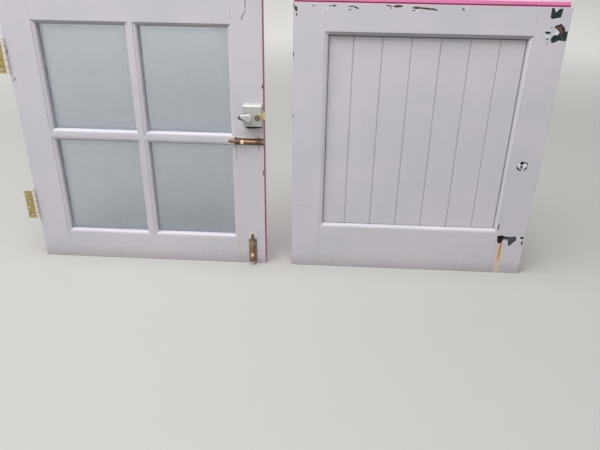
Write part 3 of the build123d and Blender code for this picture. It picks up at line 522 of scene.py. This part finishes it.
panes = [(row, column) for row in ("bottom", "top") for column in ("left", "right")]
dress(["glazing_beads_%s_%s" % pane for pane in panes], beadMaterial("paintGlazingBeads", upper))
dress(["panel_beads"], beadMaterial("paintPanelBeads", lower))

print("scene: glass")
glass = {
    "tint": (0.46, 0.53, 0.60, 1.0),
    "haze": srgb(180, 190, 200),
    "alpha": 0.62,
    "roughness": 0.03,
    "ior": 1.45,
    "hazeRoughness": 0.9,
    "columns": {"left": (90.0, 374.5), "right": (387.5, 672.0)},
    "rows": {"bottom": (91.0, 429.0), "top": (442.0, 780.0)},
    "moulding": 11.5,  # from the openings above to the glass in sight
    "smears": {("bottom", "left"): [(122, 112, 1.5, 11, 5), (110, 147, 1.3, 4.5, -25),
                                    (125, 104, 5, 1.4, 0)]},
}


def paneMaterial(name, x1, x2, z1, z2, smears=()):
    # clear glass under dust: a bloom along the bottom, drips, specks and a smeared film
    graph = Graph(name)
    place = graph.leafPlace(upper)
    x, y, z = graph.axes(place)
    film = graph.noise(place, 120.0, 5.0, 0.65)
    drip = graph.noise(graph.stretch(place, 1.0, 1.0, 0.07), 5.0, 4.0, 0.6)
    speck = graph.noise(place, 2.6, 3.0, 0.6)
    low = 1.0 - graph.step(z - z1 - drip * 60.0, -14.0, 40.0)
    sides = (1.0 - graph.step(x - x1, 10.0, 34.0)) | graph.step(x - x2, -34.0, -10.0)
    edge = sides | graph.step(z - z2, -26.0, -8.0)
    dust = low * 0.28 + edge * film * 0.35 + graph.step(film, 0.5, 0.8) * 0.14
    dust = dust + graph.step(speck, 0.66, 0.74) * 0.3
    dust = (dust * (0.55 + speck * 0.6)).clip()
    if smears:
        dust = dust | graph.spots(place, smears, 0.5)
    clear = graph.surface
    graph.shade(Base_Color=glass["tint"], Roughness=glass["roughness"], Transmission_Weight=1.0,
                Alpha=glass["alpha"], IOR=glass["ior"])
    haze = graph.node("ShaderNodeBsdfPrincipled", None,
                      {"Base Color": glass["haze"], "Roughness": glass["hazeRoughness"]})
    joined = graph.node("ShaderNodeMixShader", None,
                        {0: dust * 0.8, 1: Signal(graph, clear.outputs[0]), 2: haze})
    graph.feed(graph.tree.nodes["Material Output"].inputs["Surface"], joined)
    return graph.owner


for row, column in panes:
    (x1, x2), (z1, z2) = glass["columns"][column], glass["rows"][row]
    inset = glass["moulding"]
    dress(["pane_%s_%s" % (row, column)], paneMaterial(
        "glass%s%s" % (row.title(), column.title()), x1 + inset, x2 - inset, z1 + inset, z2 - inset,
        glass["smears"].get((row, column), ())))

print("scene: metal")
metal = {
    "brass": srgb(196, 164, 98),
    "gold": srgb(222, 202, 158),
    "tan": srgb(172, 156, 104),
    "tanDeep": srgb(138, 122, 74),
    "tarnish": srgb(104, 74, 46),
    "dark": srgb(52, 40, 30),
    "plate": srgb(122, 96, 80),
    "plateDeep": srgb(82, 58, 44),
    "olive": srgb(128, 116, 84),
    "copper": srgb(168, 132, 108),
    "copperDeep": srgb(116, 84, 64),
    # a painted highlight on the bolt knobs
    "knobHighlight": srgb(240, 214, 180),
    "tail": srgb(78, 76, 62),
    "zinc": srgb(168, 168, 164),
    # a lighter copy of the plate brass, painted light
    "plateLit": srgb(152, 128, 110),
    "sage": srgb(180, 184, 180),
    "sageWorn": srgb(168, 169, 160),
    "topLight": srgb(186, 187, 185),
    "shade": srgb(44, 42, 42),
    "stain": srgb(214, 190, 142),
    "snib": srgb(138, 126, 104),
    "snibRing": srgb(72, 66, 56),
    "cream": srgb(222, 214, 206),
    "paint": srgb(200, 196, 202),
}


def metalMaterial(name, bright, dull, share, roughness=0.32, size=9.0, spots=0.0, coats=(),
                  shine=1.0):
    # brass or steel: bright metal under a patchy dull film, dark specks, then coats
    # that cover part of it, each a colour and a function from x, y, z to its share
    graph = Graph(name)
    place = graph.leafPlace(upper)
    film = graph.noise(place, size, 5.0, 0.68)
    fine = graph.noise(place, 1.2, 3.0, 0.6)
    patches = graph.step(film, 0.72 - 0.5 * share, 0.88 - 0.4 * share)
    dullShare = (patches * 0.85 + fine * 0.12).clip()
    colour = graph.mix(dullShare, metal[bright], metal[dull])
    pit = graph.step(graph.noise(place, 1.8, 2.0, 0.5), 0.70 - 0.1 * spots, 0.80 - 0.1 * spots)
    colour = graph.mix(pit * 0.7, colour, metal["dark"])
    scratch = graph.noise(graph.stretch(place, 1.0, 1.0, 0.04), 0.5, 2.0, 0.5)
    rough = roughness + dullShare * 0.32 + scratch * 0.10
    bare = (1.0 - dullShare * 0.45 - pit * 0.3) * shine
    height = film * 0.08 + fine * 0.05 - pit * 0.08 + scratch * 0.02
    ragged = (film - 0.5) * 2.0 + (fine - 0.5)
    x, y, z = graph.axes(place)
    for tone, cover, strength in coats:
        covered = (cover(graph, x, y, z, ragged) * strength).clip()
        colour = graph.mix(covered, colour, metal[tone])
        rough = rough + covered * (0.5 - rough)
        bare = bare * (1.0 - covered)
        height = height + covered * 0.06
    graph.shade(Base_Color=colour, Roughness=rough.clip(), Metallic=bare.clip(),
                Normal=graph.bump(height))
    return graph.owner


def beyond(axis, limit, soft, ragged, sign=1):
    # a cover past a limit along one axis, or before it with sign -1; ragged border
    def cover(graph, x, y, z, rough):
        value = {"x": x, "y": y, "z": z}[axis] * sign + rough * ragged
        return graph.step(value, limit * sign - soft, limit * sign + soft)
    return cover


def past(x0, z0, direction, limit, soft):
    # a cover on the far side of a slanted line on the leaf's face
    def cover(graph, x, y, z, rough):
        reach = (x - x0) * direction[0] + (z - z0) * direction[1] + rough * 0.6
        return graph.step(reach, limit - soft, limit + soft)
    return cover


def seams(axis, places, half=0.8, start=-500.0):
    # thin covers at several places along one axis, right of a starting line
    def cover(graph, x, y, z, rough):
        share = 0.0
        for place in places:
            off = abs({"x": x, "y": y, "z": z}[axis] - place)
            share = (1.0 - graph.step(off, 0.5 * half, 1.5 * half)) + share
        return share * graph.step(x, start - 0.5, start + 0.5)
    return cover


def inBand(axis, low, high):
    # a cover between two limits along one axis
    soft = 1.2

    def cover(graph, x, y, z, rough):
        value = {"x": x, "y": y, "z": z}[axis] + rough * 2.0
        start = graph.step(value, low - soft, low + soft)
        return start * (1.0 - graph.step(value, high - soft, high + soft))
    return cover


def roundSpot(x0, z0, radius):
    # a cover inside a circle on the leaf's face, with a soft rim
    def cover(graph, x, y, z, rough):
        across, upward = (x - x0) * (1.0 / radius), (z - z0) * (1.0 / radius)
        reach = across * across + upward * upward + rough * 0.4
        return 1.0 - graph.step(reach, 0.5, 1.5)
    return cover


def ringSpot(x0, z0, inner, outer):
    # a cover between two circles round one centre
    def cover(graph, x, y, z, rough):
        across, upward = x - x0, z - z0
        reach = across * across + upward * upward + rough * 2.0
        start = graph.step(reach, 0.7 * inner * inner, 1.2 * inner * inner)
        return start * (1.0 - graph.step(reach, 0.9 * outer * outer, 1.3 * outer * outer))
    return cover


hinge = {
    "heights": {"bottom_hinge": 195.0, "top_hinge": 675.0},
    "half": 50.8,
    "farEdge": -32.5,
    "knuckles": -4.9,
    "front": -12.0,
    "pitch": 20.32,
    "rim": 2.5,  # how far the paint laps over the free flap
    "seam": 0.8,
    "shine": 0.45,
}
latch = {
    "knobX": 722.0,
    "knobZ": 520.0,
    "middle": 522.0,
    "half": 32.0,
    "right": 760.0,
    "snibX": 747.0,
    "snibZ": 518.5,
    "snibRing": (5.2, 8.2),
    "knobTop": 10.0,
    "knobTip": 24.4,
    "knobUnder": 10.3,
    "knobSlope": (-0.524, -0.852),  # square to the knob's lower side
    "boltStain": 12.0,
    "snibStain": 11.5,
}
bolts = {
    "crossZ": 435.5,
    "crossLeft": 671.0,
    "crossKnob": 26.0,
    "crossBands": ((672.0, 688.0), (738.0, 756.0)),
    "crossSeams": (672.5, 688.0, 738.0, 756.0),
    "dropX": 720.0,
    "dropTop": 93.0,
    "dropKnob": 56.0,
    "dropBand": (4.0, 14.0),
    "dropBrow": (77.0, 80.0),
    "dropSeams": (3.5, 15.0, 76.0),
}


def enamelMaterial(name, coats):
    # sprayed enamel on cast metal: a fine stipple, with a painted highlight, painted shade and
    # stains laid on in places
    graph = Graph(name)
    place = graph.leafPlace(upper)
    mottle = graph.noise(place, 14.0, 4.0, 0.6)
    stipple = graph.noise(place, 0.7, 2.0, 0.5)
    colour = graph.mix(graph.step(mottle, 0.42, 0.72) * 0.7, metal["sage"], metal["sageWorn"])
    chip = graph.step(graph.noise(place, 3.2, 4.0, 0.7), 0.68, 0.72)
    x, y, z = graph.axes(place)
    ragged = (mottle - 0.5) * 2.0
    for tone, cover, strength in coats:
        covered = (cover(graph, x, y, z, ragged) * strength).clip()
        colour = graph.mix(covered, colour, metal[tone])
    colour = graph.mix(chip * 0.7, colour, metal["tarnish"])
    graph.shade(Base_Color=colour, Roughness=(0.32 + mottle * 0.15).clip(), Metallic=0.1,
                Normal=graph.bump(stipple * 0.05 - chip * 0.10))
    return graph.owner


dullBrass = metalMaterial("dullBrass", "brass", "tarnish", 0.45)
boltBrass = metalMaterial("latchBoltBrass", "gold", "tan", 0.4, 0.34, 6.0, shine=0.5)
screwBrass = metalMaterial("screwBrass", "plateDeep", "dark", 0.6, shine=0.6)
paintedScrew = metalMaterial("paintedScrew", "paint", "cream", 0.5, 0.45, 5.0, shine=0.1)
screwSteel = metalMaterial("screwSteel", "zinc", "tarnish", 0.3)

for name, height in hinge["heights"].items():
    top, bottom = height + hinge["half"] - hinge["rim"], height - hinge["half"] + hinge["rim"]
    rim = [("cream", beyond("x", hinge["farEdge"] + 2.2, 1.2, 2.5, -1), 0.7),
           ("cream", beyond("z", top, 1.2, 2.5), 0.7),
           ("cream", beyond("z", bottom, 1.2, 2.5, -1), 0.7)]
    gaps = [height + step * hinge["pitch"] for step in (-2.5, -1.5, -0.5, 0.5, 1.5, 2.5)]
    gapShade = ("shade", seams("z", gaps, hinge["seam"], hinge["knuckles"]), 0.8)
    knuckles = [("cream", beyond("x", hinge["knuckles"], 1.5, 2.0), 0.92), gapShade]
    dress([name + "_free_flap"], metalMaterial(
        name + "Tan", "tan", "tanDeep", 0.5, 0.40, 14.0, 0.3, rim + knuckles, hinge["shine"]))
    laidIn = [("cream", beyond("y", hinge["front"], 1.0, 0.5), 0.92), gapShade]
    dress([name + "_fixed_flap"], metalMaterial(
        name + "Painted", "tan", "tanDeep", 0.5, 0.40, 8.0, 0.3, laidIn, hinge["shine"]))
    dress([name + "_pin"], dullBrass)
    dress([name + "_screws"], paintedScrew)
# topLight coats on the case's top and the knob's top are a painted highlight; shade coats on the
# knob's lower side and tip are painted shade
dress(["latch_case"], enamelMaterial("latchEnamel", [
    ("topLight", beyond("z", latch["middle"] + latch["half"] - 1.2, 0.8, 0.4), 0.9),
    ("stain", roundSpot(latch["right"], latch["middle"], latch["boltStain"]), 0.45),
    ("stain", roundSpot(latch["snibX"], latch["snibZ"], latch["snibStain"]), 0.30)]))
dress(["latch_knob"], enamelMaterial("knobEnamel", [
    ("topLight", beyond("z", latch["knobZ"] + latch["knobTop"], 1.0, 0.5), 0.6),
    ("shade",
     past(latch["knobX"], latch["knobZ"], latch["knobSlope"], latch["knobUnder"], 0.6), 0.9),
    ("shade", beyond("x", latch["knobX"] - latch["knobTip"], 0.5, 0.4, -1), 0.75)]))
dress(["latch_snib"], metalMaterial("snibBronze", "snib", "tarnish", 0.4, 0.36, 5.0, 0.2, [
    ("snibRing", ringSpot(latch["snibX"], latch["snibZ"], *latch["snibRing"]), 0.8)], 0.5))
dress(["latch_bolt"], boltBrass)
dress(["cylinder_ring", "rim_cylinder", "key_plug"], dullBrass)
dress(["latch_back_plate", "latch_back_screws", "latch_fixing_screws"], screwSteel)
dress(["cross_bolt_plate"], metalMaterial("crossPlate", "plate", "plateDeep", 0.6, 0.42, 7.0, 0.6, [
    ("plateDeep", inBand("x", *bolts["crossBands"][0]), 0.7),
    ("plateDeep", inBand("x", *bolts["crossBands"][1]), 0.7),
    ("cream", beyond("z", bolts["crossZ"] + 9.0, 0.9, 1.2), 0.85),
    ("shade", beyond("z", bolts["crossZ"] - 8.5, 1.2, 1.0, -1), 0.6),
    ("cream", beyond("z", bolts["crossZ"] - 12.0, 0.7, 1.6, -1), 0.45),
    ("shade", seams("x", bolts["crossSeams"]), 0.55),
    ("cream", beyond("x", bolts["crossLeft"] - 1.0, 1.2, 2.0, -1), 0.85)], 0.35))
# the drop plate's brass is a lighter copy of the cross plate's, painted light
dress(["drop_bolt_plate"], metalMaterial("dropPlate", "plateLit", "plate", 0.5, 0.42, 7.0, 0.5, [
    ("plateDeep", inBand("z", *bolts["dropBand"]), 0.4),
    ("shade", seams("z", bolts["dropSeams"]), 0.5),
    ("cream", inBand("z", *bolts["dropBrow"]), 0.5),
    ("olive", beyond("x", bolts["dropX"] + 8.0, 2.0, 3.0), 0.6),
    ("cream", beyond("z", 10.0, 1.6, 4.0, -1), 0.55),
    ("cream", beyond("z", bolts["dropTop"] + 1.0, 1.2, 2.0), 0.85)], 0.35))
# the knobHighlight spots on both rods are painted highlights on the knobs
dress(["cross_bolt_rod"], metalMaterial("crossRod", "copper", "copperDeep", 0.5, 0.30, 8.0, 0.1, [
    ("knobHighlight",
     roundSpot(bolts["crossLeft"] + bolts["crossKnob"], bolts["crossZ"] + 2.0, 6.0), 0.8),
    ("tail", beyond("x", bolts["crossLeft"] - 0.5, 1.5, 2.0, -1), 0.85)], 0.6))
dress(["drop_bolt_rod"], metalMaterial("dropRod", "copper", "copperDeep", 0.6, 0.30, 8.0, 0.2, [
    ("knobHighlight",
     roundSpot(bolts["dropX"], bolts["dropTop"] - bolts["dropKnob"] + 2.0, 5.0), 0.6),
    ("tail", beyond("z", bolts["dropTop"] + 0.5, 1.5, 2.0), 0.85)], 0.6))
dress(["cross_bolt_screws", "drop_bolt_screws"], screwBrass)

print("scene: floor, light and camera")
stage = {
    "floor": srgb(172, 171, 168),
    "floorFar": srgb(236, 235, 232),
    "floorHalf": 30.0,
    "palerArea": (1.0, 30.0),  # squared metres from the leaves
    "haze": (0.56, 0.56, 0.55, 1.0),
    "hazeArea": (30.0, 500.0),
    "frontHaze": (2.2, 12.0),  # metres before the leaves
    "frontShare": 0.7,
    "world": 0.23,
    "worldSeen": 0.4,
    "white": (1.0, 1.0, 1.0, 1.0),
    "black": (0.0, 0.0, 0.0, 1.0),
    "skySize": (4.4, 3.6),
    "skyPlace": (-1.35, -1.3, 4.2),
    "skyPower": 297.0,
    "fillSize": (3.0, 2.0),
    "fillPlace": (-0.6, -4.4, 2.2),
    "fillPower": 24.0,
    "backSize": (12.0, 8.0),
    "backPlace": (-0.4, 7.5, 5.0),
    "backPower": 270.0,
    "aim": (-0.42, 0.0, 0.4),
}


def buildFloor():
    # one flat square, level with the leaves' bottom edges, that grows paler far away
    half = stage["floorHalf"]
    corners = [(-half, -half, 0.0), (half, -half, 0.0), (half, half, 0.0), (-half, half, 0.0)]
    mesh = bpy.data.meshes.new("floor")
    mesh.from_pydata(corners, [], [(0, 1, 2, 3)])
    floor = bpy.data.objects.new("floor", mesh)
    bpy.context.scene.collection.objects.link(floor)
    graph = Graph("floorPale")
    where = graph.node("ShaderNodeTexCoord", output=3)
    x, y, z = graph.axes(where)
    away = x * x + (y + 0.5) * (y + 0.5)
    far = graph.step(away, *stage["palerArea"])
    grain = graph.noise(where, 0.02, 3.0, 0.6)
    colour = graph.mix(far, stage["floor"], stage["floorFar"])
    before = graph.step(-1.0 * y, *stage["frontHaze"]) * stage["frontShare"]
    distant = graph.step(away, *stage["hazeArea"]) | before
    glow = graph.mix(distant * graph.backgroundRays(), stage["black"], stage["haze"])
    graph.shade(Base_Color=colour, Roughness=0.85 + grain * 0.1,
                Emission_Color=glow, Emission_Strength=1.0)
    mesh.materials.append(graph.owner)


def areaLight(name, place, aim, size, power):
    # a soft rectangular lamp that looks from its place to its aim
    light = bpy.data.lights.new(name, "AREA")
    light.shape = "RECTANGLE"
    light.size, light.size_y = size
    light.energy = power
    lamp = bpy.data.objects.new(name, light)
    away = np.array(place) - np.array(aim)
    away = away / np.linalg.norm(away)
    right = np.cross((0.0, 1.0, 0.0) if abs(away[2]) > 0.9 else (0.0, 0.0, 1.0), away)
    right = right / np.linalg.norm(right)
    up = np.cross(away, right)
    turn = Matrix([[right[i], up[i], away[i]] for i in range(3)]).to_4x4()
    lamp.matrix_world = Matrix.Translation(place) @ turn
    bpy.context.scene.collection.objects.link(lamp)


camera = {
    "place": (-0.2671, -1.7488, 1.0242),
    "pitch": 63.196,
    "roll": -0.759,
    "yaw": 3.249,
    "lens": 35.22,
    "film": 36.0,
}


def buildCamera():
    # where the photograph was taken from, as fitted to the corners of both leaves
    data = bpy.data.cameras.new("camera")
    data.lens = camera["lens"]
    data.sensor_width = camera["film"]
    data.sensor_fit = "HORIZONTAL"
    data.clip_end = 200.0
    made = bpy.data.objects.new("camera", data)
    made.location = camera["place"]
    made.rotation_mode = "XYZ"
    made.rotation_euler = [math.radians(camera[key]) for key in ("pitch", "roll", "yaw")]
    bpy.context.scene.collection.objects.link(made)
    bpy.context.scene.camera = made


buildFloor()
areaLight("sky", stage["skyPlace"], stage["aim"], stage["skySize"], stage["skyPower"])
areaLight("fill", stage["fillPlace"], stage["aim"], stage["fillSize"], stage["fillPower"])
floorBelow = (*stage["backPlace"][:2], 0.0)
areaLight("back", stage["backPlace"], floorBelow, stage["backSize"], stage["backPower"])
sky = Graph("world", bpy.data.worlds, "Background")
sky.shade(Color=stage["white"],
          Strength=sky.backgroundRays() * stage["worldSeen"] + stage["world"])
bpy.context.scene.world = sky.owner
bpy.context.scene.view_settings.view_transform = "Standard"
buildCamera()
